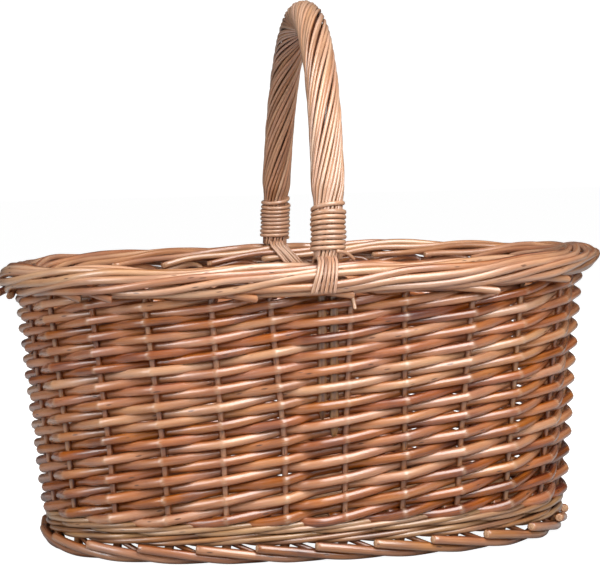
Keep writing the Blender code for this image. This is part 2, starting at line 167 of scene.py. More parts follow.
# Where a rod is in its cycle of three stakes, and how far outward, in shares of its reach
WALE_CYCLE = (0, 0.35, 0.5, 1.5, 1.65, 2.0, 2.5, 3.0)
WALE_OUTWARD = (0, 0.85, 1.0, 1.0, 0.85, 0.0, -1.0, 0.0)

# Base
BASE_EDGE_R, BASE_Z = -0.0075, 0.0192
BASE_STICK_RADIUS, BASE_ROD_RADIUS = 0.0032, 0.0024
CROSS_STICKS, CROSS_STICK_PITCH = 9, 0.040
LONG_STICKS, LONG_STICK_PITCH, LONG_STICK_END = 3, 0.013, 0.180
BASE_ROWS, BASE_ROW_PITCH, BASE_ROW_OVERHANG, BASE_ROW_SAMPLING = 55, 0.0045, 0.001, 0.005
CROSS_STICK_SAMPLES, LONG_STICK_SAMPLES, LONG_STICK_THINNER = 30, 80, 0.8
BASE_STICK_TONES, BASE_ROD_TONES, BASE_ROD_SIDES, BASE_ROD_FLATTER = (0.3, 0.6), (0.2, 0.75), 7, 0.8
BASE_BEND_SHARPNESS, BASE_BEND_REACH = 0.7, 0.75

# Handle
SPRING_Z, HANDLE_RISE, HANDLE_LEAN = 0.220, 0.188, 0.007
CORE_RADIUS = 0.0072
LINER_X, LINER_RADIUS, LINER_TIP_Z, LINER_TIP_STAGGER, LINER_ROOT_Z = 0.0043, 0.0032, 0.091, 0.015, 0.2275
WRAP_RODS, WRAP_ROD_RADIUS, WRAP_OUTER, WRAP_TURNS = 22, 0.00144, 0.0122, 2.2
WRAP_END_Z, WRAP_WAIST_Z, WRAP_SHOULDER_Z, WRAP_WAIST_OUTER = 0.2232, 0.262, 0.275, 0.0104
BINDING_LOW_Z, BINDING_HIGH_Z, BINDING_TURNS, BINDING_OUTER = 0.2285, 0.2600, 9, 0.0130
BINDING_ROD_RADIUS, BINDING_TONE, BINDING_TURN_SAMPLES = 0.00166, 0.35, 24
BINDING_FREE_FROM, BINDING_FREE_OVER, BINDING_FREE_RISE, BINDING_FREE_DROP = 0.93, 0.07, 0.10, 4.0
BINDING_SLACK, BINDING_SLACK_WAVES = 0.0003, 7
# The loose tail of the front binding: (x, y outward from the handle's middle line, z)
BINDING_TAIL = (
    (0.0050, -0.0126, 0.2292),
    (0.0105, -0.0112, 0.2284),
    (0.0150, -0.0085, 0.2258),
    (0.0178, -0.0060, 0.2226),
)
BINDING_TAIL_THINNER, BINDING_TAIL_TONE = 0.8, 0.45
# The wrap's rods are painted browner toward the rear leg, as painted shade where less light falls, from this
# turn of the bow and over this much of it
REAR_PAINTED_SHADE, REAR_PAINTED_SHADE_FROM, REAR_PAINTED_SHADE_OVER = 0.12, 1.2, 1.4
# The core rod's own colour, made dark so that it paints shade in the gaps between the wrap's rods
BOW_SAMPLES, CORE_SIDES, CORE_PAINTED_SHADE_TONE = 200, 16, 0.9
LINER_SAMPLES, LINER_TONE, LINER_POINT, LINER_POINT_LENGTH = 50, 0.35, 0.35, 0.012
WRAP_JITTER, WRAP_THICKNESS, WRAP_WAIST_THINNER, WRAP_WANDER = 0.12, (0.92, 1.08), 0.86, 0.05
WRAP_WANDER_PACE, WRAP_WANDER_START, WRAP_UNEVEN, WRAP_TONES = (3, 7), (0, 6), (-0.0004, 0.0002), (0.10, 0.60)
FINE_ROD_SIDES, FINE_SAMPLING, FINE_SMOOTHING = 8, 0.0008, 3.0
LASHING_KNOTS = (
    (0.0200, 0.2000),
    (0.0213, 0.2050),
    (0.0216, 0.2108),
    (0.0198, 0.2162),
    (0.0156, 0.2208),
    (0.0104, 0.2236),
    (-0.0100, 0.2236),
    (-0.0122, 0.2208),
    (-0.0162, 0.2158),
    (-0.0184, 0.2100),
    (-0.0178, 0.2026),
)
LASHING_RODS, LASHING_ROD_RADIUS = 6, 0.00112
LASHING_SLANTS = {"lashing_front": 0.24, "lashing_rear": 0.85}
LASHING_TOP_WIDTH, LASHING_END_WIDTH, LASHING_TOP_X = 0.0145, 0.0180, -0.0020
LASHING_SHOULDER_Z, LASHING_DROP, LASHING_DROP_LIMIT, LASHING_STRAY = 0.2208, 0.022, 1.2, 0.0006
LASHING_LIFT, LASHING_LIFT_STEP = 0.0008, 0.0005
LASHING_THICKNESS, LASHING_TONES = (0.9, 1.15), (0.0, 0.4)

# Every rod: slow swellings along it, as (share of its radius, radians per metre, start in the rod's seed)
SWELLINGS = ((0.02, 95, 1), (0.015, 230, 3))
SEED_LIMIT = 50
CUT_ROUNDING, CUT_EDGE = 0.18, 0.8
SHARP_ANGLE = 55

# Willow colours, linear, from a pale rod to a dark one
SIDING_COLOURS = (
    (0.0, (0.57, 0.340, 0.210)),
    (0.35, (0.44, 0.207, 0.102)),
    (0.7, (0.29, 0.100, 0.032)),
    (1.0, (0.09, 0.019, 0.004)),
)
STAKE_COLOURS = (
    (0.0, (0.57, 0.365, 0.235)),
    (0.35, (0.43, 0.228, 0.122)),
    (0.7, (0.30, 0.122, 0.048)),
    (1.0, (0.11, 0.030, 0.009)),
)
OLIVE_COLOURS = ((0.0, (0.50, 0.325, 0.190)), (0.5, (0.33, 0.182, 0.088)), (1.0, (0.11, 0.040, 0.014)))
PALE_COLOURS = ((0.0, (0.60, 0.405, 0.285)), (0.5, (0.47, 0.275, 0.165)), (1.0, (0.18, 0.075, 0.030)))
CUT_COLOURS = ((0.3, (0.33, 0.14, 0.06)), (0.7, (0.62, 0.40, 0.24)))
BRUISE_COLOUR, BRUISE_SHARE = (0.56, 0.41, 0.28), 0.38
SCAR_COLOUR, SCAR_SHARE, SCAR_EDGE, SCAR_RARITY = (0.09, 0.030, 0.012), 0.85, (0.10, 0.17), (0.78, 0.80)
HUES, SATURATIONS = (0.490, 0.4985), (1.20, 0.96)

# Willow markings: how fine each is across a rod and along it, per metre, and how far it moves the shade
STREAK_FINENESS, STREAK_SHADE = (0.55, 0.55, 9.0), 0.26
BLOTCH_FINENESS, BLOTCH_SHADE = (0.3, 0.3, 28.0), 0.20
FIBRE_FINENESS, FIBRE_SHADE = (7.0, 7.0, 45.0), 0.13
SCAR_FINENESS, WRINKLE_FINENESS = (0.9, 0.9, 55.0), (2.0, 2.0, 900.0)
# Painted shade: each rod's colour darkens along its upper and lower sides, where it touches its neighbours,
# from this far round its side
PAINTED_SHADE_WHERE_RODS_TOUCH, PAINTED_SHADE_FROM_SIDE = 0.45, 0.70
ROUGHNESS_BELOW, ROUGHNESS_ABOVE, COAT_ROUGHNESS, SPECULAR_LEVEL = 0.06, 0.10, 0.22, 0.7
FIBRE_HEIGHT, BLOTCH_HEIGHT, WRINKLE_HEIGHT, SCAR_DEPTH = 0.5, 0.6, 1.5, 0.8
BUMP_STRENGTH, BUMP_DISTANCE = 0.5, 0.0004
CUT_FINENESS, CUT_ROUGHNESS = 900.0, 0.8

# Camera
CAMERA_DISTANCE, CAMERA_AZIMUTH, CAMERA_HEIGHT = 1.626, 7.3, 0.290
CAMERA_PITCH, CAMERA_YAW, CAMERA_ROLL, CAMERA_LENS, CAMERA_SENSOR = 3.27, -0.02, 1.32, 122.8, 36.0

# Studio: powers in watts
WORLD_LIGHT, WORLD_GLOW, FLOOR_GLOW, FLOOR_SHADE = 0.055, 1.1, 0.97, 0.32
FLOOR_SIZE, FLOOR_Z, FLOOR_ROUGHNESS = 40.0, -0.0004, 0.9
LIGHT_TARGET = (0.0, 0.0, 0.15)
KEY_PLACE, KEY_SIZE, KEY_POWER = (0.27, -0.95, 1.10), (0.95, 1.70), 37.0
FILL_PLACE, FILL_SIZE, FILL_POWER = (-1.45, -0.75, 0.7), (0.6, 1.2), 13.0
BACK_PLACE, BACK_SIZE, BACK_POWER = (0.5, 1.7, 1.2), (1.8, 1.4), 40.0


def share_between(low, high, share):
    return low + share * (high - low)


def wall_half_axes(z):
    share = (z - WALL_LOW_Z) / (WALL_HIGH_Z - WALL_LOW_Z)
    return (
        share_between(LOW_HALF_LENGTH, HIGH_HALF_LENGTH, share),
        share_between(LOW_HALF_WIDTH, HIGH_HALF_WIDTH, share),
    )


def outline_table(samples=6000):
    """Unit outline points and their arc length at middle height, from the front middle anticlockwise."""
    half_length, half_width = wall_half_axes((WALL_LOW_Z + WALL_HIGH_Z) / 2)
    angle = np.linspace(-math.pi / 2, 1.5 * math.pi, samples)
    x, y = np.cos(angle), np.sin(angle)
    reach = (np.abs(x / half_length) ** OUTLINE_POWER + np.abs(y / half_width) ** OUTLINE_POWER) ** (
        -1 / OUTLINE_POWER
    )
    x, y = x * reach, y * reach
    arc = np.concatenate([[0.0], np.cumsum(np.hypot(np.diff(x), np.diff(y)))])
    return x / half_length, y / half_width, arc


UNIT_X, UNIT_Y, ARC = outline_table()
STAKE_PITCH = float(ARC[-1]) / STAKES


def unit(vectors):
    return vectors / np.linalg.norm(vectors, axis=-1, keepdims=True)


def waves(u, parts):
    """Sum of slow waves round the basket, each (waves in one round, height, start angle)."""
    return sum(size * np.sin(2 * math.pi * count * u / STAKES + start) for count, size, start in parts)


def strayed(u, r, z):
    """The same place in the wall as the weaver left it, with leaning stakes and an uneven outline."""
    lean = np.interp(u % STAKES, np.arange(STAKES + 1), [*LEANS, LEANS[0]])
    lean = lean * np.clip((z - LEAN_START_Z) / LEAN_RISE, 0, 1)
    up = np.clip((z - HEIGHT_WAVES_START_Z) / HEIGHT_WAVES_RISE, 0, 1)
    below_crown = np.clip((RIDE_UP_CROWN_Z - z) / RIDE_UP_CROWN_DEPTH, 0, 1)
    ride_up = bump_at(u % STAKES, RIDE_UP_U, RIDE_UP_REACH) * (RIDE_UP_TOP + RIDE_UP_EXTRA * below_crown)
    ride_up = ride_up * np.clip((z - RIDE_UP_START_Z) / RIDE_UP_RISE, 0, 1)
    return u + lean, r + up * waves(u, OUTWARD_WAVES), z + up * waves(u, HEIGHT_WAVES) + ride_up


def wall_places(u, r, z):
    """Points and outward directions of places in the wall, for arrays u, r and z."""
    u, r, z = strayed(*np.broadcast_arrays(np.asarray(u, float), r, z))
    along = (HANDLE_STAKE_X + u * STAKE_PITCH) % ARC[-1]
    x, y = np.interp(along, ARC, UNIT_X), np.interp(along, ARC, UNIT_Y)
    half_length, half_width = wall_half_axes(z)
    steep = OUTLINE_POWER - 1
    outward = np.stack(
        [
            np.sign(x) * np.abs(x) ** steep / half_length,
            np.sign(y) * np.abs(y) ** steep / half_width,
            np.zeros_like(x),
        ],
        axis=-1,
    )
    outward = unit(outward)
    points = np.stack([half_length * x, half_width * y, z], axis=-1) + r[:, None] * outward
    return points, outward


def smoothed(values, sigma):
    """Values averaged along their first axis with a bell of this many samples, ends held."""
    reach = int(3 * sigma) + 1
    bell = np.exp(-0.5 * (np.arange(-reach, reach + 1) / sigma) ** 2)
    bell /= bell.sum()
    padded = np.concatenate(
        [2 * values[:1] - values[reach:0:-1], values, 2 * values[-1:] - values[-2 : -reach - 2 : -1]]
    )
    return np.stack([np.convolve(padded[:, i], bell, "valid") for i in range(values.shape[1])], axis=1)


def resampled(path, spacing, lengths):
    """Rows of path at even steps of the running length."""
    count = max(2, int(lengths[-1] / spacing) + 1)
    wanted = np.linspace(0, lengths[-1], count)
    return np.stack([np.interp(wanted, lengths, path[:, i]) for i in range(path.shape[1])], axis=1)


def run_lengths(points):
    return np.concatenate([[0.0], np.cumsum(np.linalg.norm(np.diff(points, axis=0), axis=1))])


class Rods:
    """Collects round rods and makes one mesh object of them."""

    def __init__(self):
        self.points, self.grain, self.looks, self.faces, self.caps = [], [], [], [], []
        self.count = 0

    def add(self, points, references, radii, tone, sides=10, bend=0.0, slants=(0.0, 0.0)):
        """One rod. Tone is its colour from 0, pale, to 1, dark; bend marks kinks; slants tilt its cuts."""
        points = np.asarray(points, float)
        count = len(points)
        radii, tone, bend = [np.broadcast_to(v, count).astype(float) for v in (radii, tone, bend)]
        along = unit(np.gradient(points, axis=0))
        references = np.broadcast_to(references, points.shape)
        first = unit(references - (references * along).sum(1, keepdims=True) * along)
        second = np.cross(along, first)
        lengths = run_lengths(points)
        seed = chance.uniform(0, SEED_LIMIT)
        swelling = [size * np.sin(lengths * pace + start * seed) for size, pace, start in SWELLINGS]
        radii = radii * (1 + swelling[0] + swelling[1])
        # one ring at each point, and a smaller one just past each end, which rounds its edge
        ring = np.concatenate([[0], np.arange(count), [count - 1]])
        radius = radii[ring]
        past, slant = np.zeros(count + 2), np.zeros(count + 2)
        past[0], past[-1] = -CUT_ROUNDING * radius[0], CUT_ROUNDING * radius[-1]
        slant[:2], slant[-2:] = slants
        radius[[0, -1]] *= CUT_EDGE
        turn = 2 * math.pi * np.arange(sides) / sides
        cos, sin = np.cos(turn)[None, :, None], np.sin(turn)[None, :, None]
        round_it = cos * first[ring][:, None] + sin * second[ring][:, None]
        shift = past[:, None, None] + (slant * radius)[:, None, None] * cos
        skin = points[ring][:, None] + radius[:, None, None] * round_it + shift * along[ring][:, None]
        self.points.append(skin.reshape(-1, 3))
        flat = np.ones((count + 2, sides, 1))
        grain = [cos * flat, sin * flat, (lengths[ring] + seed)[:, None, None] * flat]
        self.grain.append(np.concatenate(grain, axis=2).reshape(-1, 3))
        own = seed / SEED_LIMIT
        looks = [tone[ring][:, None, None] * flat, own * flat, bend[ring][:, None, None] * flat]
        self.looks.append(np.concatenate(looks, axis=2).reshape(-1, 3))
        base = self.count + sides * np.arange(count + 1)[:, None]
        here, there = np.arange(sides), (np.arange(sides) + 1) % sides
        quads = np.stack([base + here, base + there, base + sides + there, base + sides + here], axis=-1)
        self.faces.extend(quads.reshape(-1, 4).tolist())
        self.caps.append([self.count + i for i in reversed(range(sides))])
        self.count += sides * (count + 2)
        self.caps.append([self.count - sides + i for i in range(sides)])

    def build(self, name, material, replaces):
        mesh = bpy.data.meshes.new(name)
        mesh.from_pydata(np.concatenate(self.points).tolist(), [], self.faces + self.caps)
        mesh.shade_smooth()
        mesh.set_sharp_from_angle(angle=math.radians(SHARP_ANGLE))
        for label, rows in (("grain", self.grain), ("rod", self.looks)):
            layer = mesh.attributes.new(label, "FLOAT_VECTOR", "POINT")
            layer.data.foreach_set("vector", np.concatenate(rows).astype(np.float32).ravel())
        mesh.materials.append(material)
        mesh.materials.append(materials["cut"])
        index = np.zeros(len(mesh.polygons), np.int32)
        index[len(self.faces) :] = 1
        mesh.polygons.foreach_set("material_index", index)
        made = bpy.data.objects.new(name, mesh)
        bpy.context.scene.collection.objects.link(made)
        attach(made, "root")
        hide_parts(*replaces)
        return made


class Nodes:
    """Short calls for building a material's node tree."""

    def __init__(self, name):
        self.material = bpy.data.materials.new(name)
        self.material.use_nodes = True
        self.tree = self.material.node_tree
        self.surface = self.tree.nodes["Principled BSDF"]

    def put(self, target, value):
        if isinstance(value, bpy.types.NodeSocket):
            self.tree.links.new(value, target)
        else:
            target.default_value = value

    def node(self, kind, inputs=(), **settings):
        made = self.tree.nodes.new("ShaderNode" + kind)
        for key, value in settings.items():
            setattr(made, key, value)
        for key, value in dict(inputs).items():
            self.put(made.inputs[key], value)
        return made

    def math(self, operation, a, b=0.0):
        return self.node("Math", {0: a, 1: b}, operation=operation).outputs[0]

    def attribute(self, name):
        return self.node("Attribute", attribute_name=name).outputs["Vector"]

    def split(self, vector):
        return self.node("SeparateXYZ", {0: vector}).outputs

    def scaled(self, vector, scale):
        return self.node("VectorMath", {0: vector, 1: scale}, operation="MULTIPLY").outputs[0]

    def noise(self, vector, scale, detail=3.0, roughness=0.5):
        inputs = {"Vector": vector, "Scale": scale, "Detail": detail, "Roughness": roughness}
        return self.node("TexNoise", inputs).outputs["Fac"]

    def ranged(self, value, low, high, to_low=0.0, to_high=1.0):
        inputs = {0: value, 1: low, 2: high, 3: to_low, 4: to_high}
        return self.node("MapRange", inputs).outputs[0]

    def ramp(self, value, stops):
        made = self.node("ValToRGB", {0: value})
        ramp = made.color_ramp
        while len(ramp.elements) < len(stops):
            ramp.elements.new(0.5)
        for element, (place, colour) in zip(ramp.elements, stops):
            element.position = place
            element.color = (*colour, 1.0)
        return made.outputs[0]

    def hue(self, colour, hue, saturation):
        """The colour turned round the wheel, where a hue of 0.5 leaves it as it is."""
        inputs = {"Color": colour, "Hue": hue, "Saturation": saturation}
        return self.node("HueSaturation", inputs).outputs[0]

    def mix(self, share, a, b):
        made = self.node("Mix", data_type="RGBA")
        self.put(made.inputs[0], share)
        self.put(made.inputs[6], a)
        self.put(made.inputs[7], (*b, 1.0))
        return made.outputs[2]


def willow(name, stops, roughness=0.27, coat=1.0, scar=1.0):
    """Skinned willow: long streaks, fine grain, leaf scars, paler bruises at the bends, and painted shade
    along the sides where rods touch.
    """
    n = Nodes(name)
    grain = n.attribute("grain")
    tone, own, bend = n.split(n.attribute("rod"))
    streak = n.noise(n.scaled(grain, STREAK_FINENESS), 1.0, 3.0)
    blotch = n.noise(n.scaled(grain, BLOTCH_FINENESS), 1.0, 2.0)
    fibre = n.noise(n.scaled(grain, FIBRE_FINENESS), 1.0, 4.0, 0.6)
    side = n.math("ABSOLUTE", n.split(grain)[1])
    shade = n.math("ADD", tone, n.ranged(streak, 0.25, 0.75, -STREAK_SHADE, STREAK_SHADE))
    shade = n.math("ADD", shade, n.ranged(blotch, 0.3, 0.7, -BLOTCH_SHADE, BLOTCH_SHADE))
    shade = n.math("ADD", shade, n.ranged(fibre, 0.3, 0.7, -FIBRE_SHADE, FIBRE_SHADE))
    # painted shade: the colour darkens along the rod's upper and lower sides, where it touches its neighbours
    shade = n.math("ADD", shade, n.ranged(side, PAINTED_SHADE_FROM_SIDE, 1.0, 0.0, PAINTED_SHADE_WHERE_RODS_TOUCH))
    hue = n.ranged(own, 0.0, 1.0, *HUES)
    saturation = n.ranged(blotch, 0.3, 0.7, *SATURATIONS)
    colour = n.hue(n.ramp(shade, stops), hue, saturation)
    bruise = n.math("MULTIPLY", bend, n.ranged(fibre, 0.38, 0.55))
    colour = n.mix(n.math("MULTIPLY", bruise, BRUISE_SHARE), colour, BRUISE_COLOUR)
    cells = n.node("TexVoronoi", {"Vector": n.scaled(grain, SCAR_FINENESS), "Scale": 1.0})
    spot = n.ranged(cells.outputs["Distance"], *SCAR_EDGE, 1.0, 0.0)
    rare = n.ranged(n.split(cells.outputs["Color"])[0], *SCAR_RARITY)
    mark = n.math("MULTIPLY", n.math("MULTIPLY", spot, rare), scar)
    colour = n.mix(n.math("MULTIPLY", mark, SCAR_SHARE), colour, SCAR_COLOUR)
    n.put(n.surface.inputs["Base Color"], colour)
    rough = n.ranged(fibre, 0.3, 0.7, roughness - ROUGHNESS_BELOW, roughness + ROUGHNESS_ABOVE)
    n.put(n.surface.inputs["Roughness"], rough)
    n.surface.inputs["Coat Weight"].default_value = coat
    n.surface.inputs["Coat Roughness"].default_value = COAT_ROUGHNESS
    n.surface.inputs["Specular IOR Level"].default_value = SPECULAR_LEVEL
    height = n.math("ADD", n.math("MULTIPLY", fibre, FIBRE_HEIGHT), n.math("MULTIPLY", blotch, BLOTCH_HEIGHT))
    wrinkle = n.noise(n.scaled(grain, WRINKLE_FINENESS), 1.0, 2.0)
    height = n.math("ADD", height, n.math("MULTIPLY", n.math("MULTIPLY", bend, wrinkle), WRINKLE_HEIGHT))
    height = n.math("SUBTRACT", height, n.math("MULTIPLY", mark, SCAR_DEPTH))
    bump = n.node("Bump", {"Height": height, "Strength": BUMP_STRENGTH, "Distance": BUMP_DISTANCE})
    n.put(n.surface.inputs["Normal"], bump.outputs[0])
    return n.material


def cut_wood():
    """The snipped end of a rod: pale wood with browner patches."""
    n = Nodes("cut_wood")
    place = n.node("TexCoord").outputs["Object"]
    patch = n.noise(place, CUT_FINENESS, 3.0)
    n.put(n.surface.inputs["Base Color"], n.ramp(patch, CUT_COLOURS))
    n.surface.inputs["Roughness"].default_value = CUT_ROUGHNESS
    return n.material


def make_materials():
    return {
        "siding": willow("willow_siding", SIDING_COLOURS),
        "stakes": willow("willow_stakes", STAKE_COLOURS, 0.30),
        "wale": willow("willow_wale", OLIVE_COLOURS, 0.30, 0.8),
        "base": willow("willow_base", OLIVE_COLOURS, 0.50, 0.0),
        "handle_bow": willow("willow_bow", OLIVE_COLOURS, 0.45),
        "handle_wrap": willow("willow_handle", PALE_COLOURS, 0.30, 0.7, 0.6),
        "binding": willow("willow_binding", PALE_COLOURS, 0.30, 0.7, 0.4),
        "lashing": willow("willow_lashing", PALE_COLOURS, 0.30, 0.7, 0.3),
        "cut": cut_wood(),
    }


def handle_parting(u, r):
    """How far a border rod at (u, r) is pushed aside by the handle's ends, away from the stakes' line."""
    beside = np.full(len(u), float(STAKES))
    for leg in (0, HALF_ROUND):
        apart = (u - PART_MIDDLE_U - leg) % STAKES
        beside = np.minimum(beside, np.minimum(apart, STAKES - apart))
    strength = np.clip(PART_REACH - beside, 0.0, 1.0)
    return np.sign(r) * HANDLE_PART * strength * (1 - PART_FADE * np.abs(r))


def bump_at(u, middle, reach):
    """A smooth rise to 1 at the middle, and 0 past this many stakes from it."""
    apart = np.clip(np.abs(u - middle) / reach, 0, 1)
    return 0.5 + 0.5 * np.cos(math.pi * apart)


def make_stake(stake):
    """One stake rod: cut butt in the foot border, up through the wall, and along the top border."""
    knots = [(step, r, z, BUTT_RADIUS) for step, r, z in FOOT_KNOTS]
    knots.append((0.0, 0.0, WALL_LOW_Z, STAKE_RADIUS))
    last = BORDER_KNOTS[-1][0]
    for step, r, z in BORDER_KNOTS:
        radius = STAKE_RADIUS
        if step > BORDER_FROM_STEP:
            radius = share_between(BORDER_RADIUS, TIP_RADIUS, step / last)
        knots.append((step, r, z, radius))
    knots = np.array(knots)
    run = np.concatenate(
        [[0.0], np.cumsum(np.hypot(np.diff(knots[:, 0]) * STAKE_PITCH, np.diff(knots[:, 2])))]
    )
    fine = resampled(knots, STAKE_SAMPLING, run)
    step, z = fine[:, 0], fine[:, 2]
    u, r = stake + step, fine[:, 1]
    r = np.where(step > BORDER_FROM_STEP, r + handle_parting(u, r), r)
    in_border = np.clip(step - BORDER_SETTLED_STEP, 0, 1)
    start, pace = chance.uniform(0, WANDER_START_LIMIT), chance.uniform(*WANDER_PACE)
    wander = BORDER_WANDER * in_border
    r = r + wander * np.sin(pace * step + start)
    z = z + wander * np.sin(1.3 * pace * step + 2 * start)
    loose = LOOSE_STAKES.get(stake, 0.0)
    end = RIGHT_END_U if stake < HALF_ROUND else LEFT_END_U
    r = r + loose * bump_at(u, end, LOOSE_REACH) * in_border
    points, outward = wall_places(u, r, z)
    points = smoothed(points, STAKE_SMOOTHING)
    every = slice(None, None, STAKE_KEEP_EVERY)
    rods = Rods()
    tone = chance.uniform(*STAKE_TONES) + FOOT_DARKER * np.clip(1 - z / FOOT_DARKER_Z, 0, 1)
    # painted light: the rods paler in the border, where light from above falls
    tone = tone - BORDER_PAINTED_TOP_LIGHT * in_border
    spread = chance.uniform(-BORDER_THICKNESS_SPREAD, BORDER_THICKNESS_SPREAD)
    thickness = fine[:, 3] * (1 + spread * in_border)
    rods.add(points[every], outward[every], thickness[every], tone[every], slants=STAKE_SLANTS)
    add_peg(rods, stake)
    for end_u, end_r, end_z in BORDER_ENDS:
        if int(end_u) == stake:
            add_border_end(rods, end_u, end_r, end_z)
    if stake == 0:
        add_hanging_end(rods)
    name = f"stake_rod_{stake + 1:02d}"
    return rods.build(name, materials["stakes"], [name])


def add_peg(rods, stake):
    """The cut end of a second rod beside the stake, which comes out under the wale and leans to the right."""
    start, end = np.array(PEG_START), np.array(PEG_END)
    u, r, z = (start + np.linspace(0, 1, PEG_SAMPLES)[:, None] * (end - start)).T
    points, outward = wall_places(stake + u, r, z)
    rods.add(points, outward, PEG_RADIUS, chance.uniform(*PEG_TONES), slants=PEG_SLANTS)


def add_border_end(rods, end_u, end_r, end_z):
    """A short length of rod that comes out from under the border and is snipped off on a slant."""
    share = np.linspace(0, 1, BORDER_END_SAMPLES)
    u = end_u - BORDER_END_LENGTH * (1 - share)
    r = share_between(BORDER_END_ROOT_R, end_r, share**0.8)
    z = end_z + BORDER_END_DROP * (1 - share)
    points, outward = wall_places(u, r, z)
    radius = BORDER_RADIUS * BORDER_END_THINNER
    rods.add(points, outward, radius, chance.uniform(*BORDER_END_TONES), slants=BORDER_END_SLANTS)


def add_hanging_end(rods):
    points, outward = wall_places(*[np.linspace(*span, HANGING_END_SAMPLES) for span in HANGING_END])
    rods.add(points, outward, HANGING_END_RADIUS, HANGING_END_TONE, slants=HANGING_END_SLANTS)


def siding_height(step):
    share = np.maximum(step, 0.0) / SIDING_STEPS
    return SIDING_START_Z + SIDING_RISE * share * (1 + SIDING_SLOWING * (1 - share))


def weave_phase(u):
    """Stakes passed at u, where a rod goes round a handle's end and its stake as if they were one."""
    whole = np.floor(u / HALF_ROUND) * HALF_ROUND
    before = u - whole - (HALF_ROUND - 1)  # from 0 to 1 over the last gap before a handle's stake
    squeezed = np.minimum(before / (1 - LINER_SHARE), 1.0)
    return np.where(before > 0, whole + HALF_ROUND - 1 + squeezed, u)


def make_siding_rod(start):
    """One siding rod, in front of one stake and behind the next, once round the basket."""
    steps = (np.arange(-1, SIDING_STEPS + 1)[:, None] + np.array(SIDING_SAMPLES)).ravel()
    steps = steps[(steps > SIDING_TUCK_STEP) & (steps < SIDING_STEPS + SIDING_OVERHANG)]
    u = start + steps
    phase = weave_phase(u) - start
    share = np.clip(steps / SIDING_STEPS, 0, 1)
    wave = np.arcsin(KINK * np.cos(math.pi * phase)) / math.asin(KINK)
    bend = np.clip(1 - np.abs(u - np.round(u)) / KINK_WIDTH, 0, 1) * (wave > 0.5)
    radii = share_between(SIDING_RADIUS, SIDING_TIP_RADIUS, share) * chance.uniform(*SIDING_THICKNESS)
    reach = STAKE_RADIUS + radii - SIDING_SQUASH
    r = wave * reach
    tuck = np.where(steps < 0, np.sin(math.pi * np.minimum(-steps, 1.0)), 0.0)
    z = siding_height(steps) - SIDING_TUCK_DROP * tuck
    z = z + SIDING_WAVE * np.sin(SIDING_WAVE_PACE * steps + chance.uniform(0, WANDER_START_LIMIT))
    points, outward = wall_places(u, r, z)
    rods = Rods()
    palest, darkest = SIDING_TONE_LIMITS
    tone = min(darkest, max(palest, chance.gauss(SIDING_TONE, SIDING_TONE_SPREAD)))
    tone = tone + SIDING_BUTT_DARKER * (1 - share) ** 2
    rods.add(points, outward, radii * (1 + KINK_SWELLING * bend), tone, bend=bend)
    name = f"siding_rod_{start + 1:02d}"
    return rods.build(name, materials["siding"], [name])


def make_wale():
    """The bottom wale. Each rod rises in front of two stakes, then drops behind the third."""
    total = STAKES * WALE_ROUNDS
    weave = STAKE_RADIUS + WALE_RADIUS
    for thread in range(WALE_THREADS):
        for length in range(WALE_LENGTHS):
            first = 3 * round(total / 3 * length / WALE_LENGTHS)
            last = 3 * round(total / 3 * (length + 1) / WALE_LENGTHS)
            steps = np.arange(first - 1.2, last - 0.7, WALE_SAMPLING)
            cycle = (steps + 0.5) % 3  # 0 as it comes out, 2 as it goes in
            r = weave * np.interp(cycle, WALE_CYCLE, WALE_OUTWARD)
            rise = WALE_STEP_RISE * np.where(cycle < 2, cycle, 2 - 2 * (cycle - 2))
            u = steps + thread
            second_round = np.clip((u - STAKES + 1.5) / 2.0, 0, 1)
            z = WALE_LOW_Z + WALE_ROUND * second_round + rise
            z = z + WALE_WAVE * np.sin(WALE_WAVE_PACE * u + thread)
            path = smoothed(np.stack([u + WALE_SEAM_U, r, z], axis=1), 1.0)
            points, outward = wall_places(*path.T)
            tone = chance.uniform(*WALE_TONES) + WALE_LOW_DARKER * (1 - second_round)
            rods = Rods()
            radius = WALE_RADIUS * chance.uniform(*WALE_THICKNESS)
            rods.add(points, outward, radius, tone, sides=WALE_SIDES)
            name = f"wale_rod_{3 * thread + length + 1:02d}"
            rods.build(name, materials["wale"], ["bottom_wale"])


def base_half_width(x):
    half_length, half_width = wall_half_axes(BASE_Z)
    inside = np.clip(1 - np.abs(x / (half_length + BASE_EDGE_R)) ** OUTLINE_POWER, 0, 1)
    return (half_width + BASE_EDGE_R) * inside ** (1 / OUTLINE_POWER)


def base_half_length(y):
    half_length, half_width = wall_half_axes(BASE_Z)
    inside = np.clip(1 - np.abs(y / (half_width + BASE_EDGE_R)) ** OUTLINE_POWER, 0, 1)
    return (half_length + BASE_EDGE_R) * inside ** (1 / OUTLINE_POWER)


